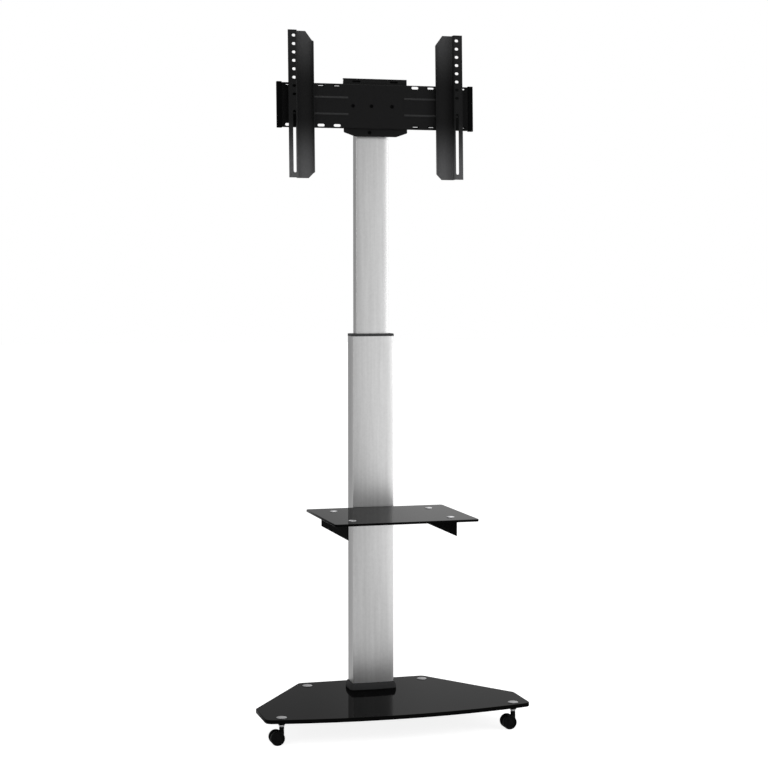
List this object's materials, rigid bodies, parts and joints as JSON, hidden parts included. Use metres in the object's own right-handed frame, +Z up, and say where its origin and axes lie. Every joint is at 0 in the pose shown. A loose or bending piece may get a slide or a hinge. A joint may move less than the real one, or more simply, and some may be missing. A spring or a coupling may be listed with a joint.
{
  "type": "tv floor stand",
  "caption": "Mobile floor stand for a flat screen: bowed black glass base on casters, telescoping silver column, glass shelf, and a tilting slotted rail with sliding arms.",
  "frame": {"origin": "on the floor, under the middle of the stand's outline seen from above", "axes": "+Z up, the screen side and the base's bowed front towards -Y, +X to the right seen from the front"},
  "size_m": [0.814, 0.523, 2.0948],
  "materials": {
    "glass": "black tempered glass, polished",
    "aluminium": "silver anodised, fine satin",
    "steel": "black powder coat, fine texture",
    "plastic": "black moulded plastic",
    "tread": "black nylon wheel",
    "satin": "satin chrome",
    "zinc": "zinc plated"
  },
  "bodies": {
    "base": {"base_glass": "glass", "foot_plate": "steel", "foot_collar": "plastic", "lower_column": "aluminium", "column_ring": "plastic", "height_nut": "zinc", "caster_cap_front_left": "satin", "caster_spacer_front_left": "plastic", "caster_stem_front_left": "zinc", "caster_cap_front_right": "satin", "caster_spacer_front_right": "plastic", "caster_stem_front_right": "zinc", "caster_cap_rear_left": "satin", "caster_spacer_rear_left": "plastic", "caster_stem_rear_left": "zinc", "caster_cap_rear_right": "satin", "caster_spacer_rear_right": "plastic", "caster_stem_rear_right": "zinc"},
    "mast": {"upper_column": "aluminium", "upper_glide": "plastic", "upper_cap": "plastic", "head_bracket": "steel"},
    "head": {"tilt_plate": "steel", "rail": "steel", "tilt_bolt_left": "zinc", "rail_end_cap_left": "plastic", "tilt_bolt_right": "zinc", "rail_end_cap_right": "plastic"},
    "shelf": {"shelf_glass": "glass", "shelf_frame": "steel", "shelf_clamp": "steel", "shelf_clamp_bolt_left": "zinc", "shelf_clamp_bolt_right": "zinc", "shelf_cap_front_left": "satin", "shelf_cap_front_right": "satin", "shelf_cap_rear_left": "satin", "shelf_cap_rear_right": "satin"},
    "height_knob": {"height_knob": "plastic"},
    "arm_left": {"arm_left": "steel"},
    "arm_lock_left": {"arm_lock_left": "plastic"},
    "arm_right": {"arm_right": "steel"},
    "arm_lock_right": {"arm_lock_right": "plastic"},
    "caster_front_left": {"caster_body_front_left": "plastic", "caster_axle_front_left": "zinc"},
    "wheel_front_left_a": {"caster_wheel_front_left_a": "tread"},
    "wheel_front_left_b": {"caster_wheel_front_left_b": "tread"},
    "caster_front_right": {"caster_body_front_right": "plastic", "caster_axle_front_right": "zinc"},
    "wheel_front_right_a": {"caster_wheel_front_right_a": "tread"},
    "wheel_front_right_b": {"caster_wheel_front_right_b": "tread"},
    "caster_rear_left": {"caster_body_rear_left": "plastic", "caster_axle_rear_left": "zinc"},
    "wheel_rear_left_a": {"caster_wheel_rear_left_a": "tread"},
    "wheel_rear_left_b": {"caster_wheel_rear_left_b": "tread"},
    "caster_rear_right": {"caster_body_rear_right": "plastic", "caster_axle_rear_right": "zinc"},
    "wheel_rear_right_a": {"caster_wheel_rear_right_a": "tread"},
    "wheel_rear_right_b": {"caster_wheel_rear_right_b": "tread"}
  },
  "joints": [
    {"name": "height_slide", "type": "slide", "parent": "base", "child": "mast", "axis": [0, 0, 1], "range_m": [-0.5, 0]},
    {"name": "head_tilt", "type": "hinge", "parent": "mast", "child": "head", "pos_m": [0, 0.1055, 1.873], "axis": [1, 0, 0], "range_deg": [-6, 12]},
    {"name": "shelf_slide", "type": "slide", "parent": "base", "child": "shelf", "axis": [0, 0, 1], "range_m": [-0.35, 0.35]},
    {"name": "height_knob_turn", "type": "hinge", "parent": "base", "child": "height_knob", "pos_m": [0, 0.1895, 1.12], "axis": [0, 1, 0], "continuous": true},
    {"name": "arm_left_slide", "type": "slide", "parent": "head", "child": "arm_left", "axis": [1, 0, 0], "range_m": [-0.045, 0.09]},
    {"name": "arm_left_lock_turn", "type": "hinge", "parent": "arm_left", "child": "arm_lock_left", "pos_m": [-0.2254, 0.08122, 1.79588], "axis": [0, 0.0384, 0.9993], "continuous": true},
    {"name": "arm_right_slide", "type": "slide", "parent": "head", "child": "arm_right", "axis": [1, 0, 0], "range_m": [-0.08, 0.055]},
    {"name": "arm_right_lock_turn", "type": "hinge", "parent": "arm_right", "child": "arm_lock_right", "pos_m": [0.2146, 0.08122, 1.79588], "axis": [0, 0.0384, 0.9993], "continuous": true},
    {"name": "caster_front_left_swivel", "type": "hinge", "parent": "base", "child": "caster_front_left", "pos_m": [-0.357, -0.1715, 0.04], "axis": [0, 0, 1], "continuous": true},
    {"name": "wheel_front_left_a_spin", "type": "hinge", "parent": "caster_front_left", "child": "wheel_front_left_a", "pos_m": [-0.372, -0.1845, 0.021], "axis": [0, 1, 0], "continuous": true},
    {"name": "wheel_front_left_b_spin", "type": "hinge", "parent": "caster_front_left", "child": "wheel_front_left_b", "pos_m": [-0.372, -0.1585, 0.021], "axis": [0, 1, 0], "continuous": true},
    {"name": "caster_front_right_swivel", "type": "hinge", "parent": "base", "child": "caster_front_right", "pos_m": [0.357, -0.1715, 0.04], "axis": [0, 0, 1], "continuous": true},
    {"name": "wheel_front_right_a_spin", "type": "hinge", "parent": "caster_front_right", "child": "wheel_front_right_a", "pos_m": [0.342, -0.1845, 0.021], "axis": [0, 1, 0], "continuous": true},
    {"name": "wheel_front_right_b_spin", "type": "hinge", "parent": "caster_front_right", "child": "wheel_front_right_b", "pos_m": [0.342, -0.1585, 0.021], "axis": [0, 1, 0], "continuous": true},
    {"name": "caster_rear_left_swivel", "type": "hinge", "parent": "base", "child": "caster_rear_left", "pos_m": [-0.1875, 0.2145, 0.04], "axis": [0, 0, 1], "continuous": true},
    {"name": "wheel_rear_left_a_spin", "type": "hinge", "parent": "caster_rear_left", "child": "wheel_rear_left_a", "pos_m": [-0.2025, 0.2015, 0.021], "axis": [0, 1, 0], "continuous": true},
    {"name": "wheel_rear_left_b_spin", "type": "hinge", "parent": "caster_rear_left", "child": "wheel_rear_left_b", "pos_m": [-0.2025, 0.2275, 0.021], "axis": [0, 1, 0], "continuous": true},
    {"name": "caster_rear_right_swivel", "type": "hinge", "parent": "base", "child": "caster_rear_right", "pos_m": [0.1875, 0.2145, 0.04], "axis": [0, 0, 1], "continuous": true},
    {"name": "wheel_rear_right_a_spin", "type": "hinge", "parent": "caster_rear_right", "child": "wheel_rear_right_a", "pos_m": [0.1725, 0.2015, 0.021], "axis": [0, 1, 0], "continuous": true},
    {"name": "wheel_rear_right_b_spin", "type": "hinge", "parent": "caster_rear_right", "child": "wheel_rear_right_b", "pos_m": [0.1725, 0.2275, 0.021], "axis": [0, 1, 0], "continuous": true}
  ]
}
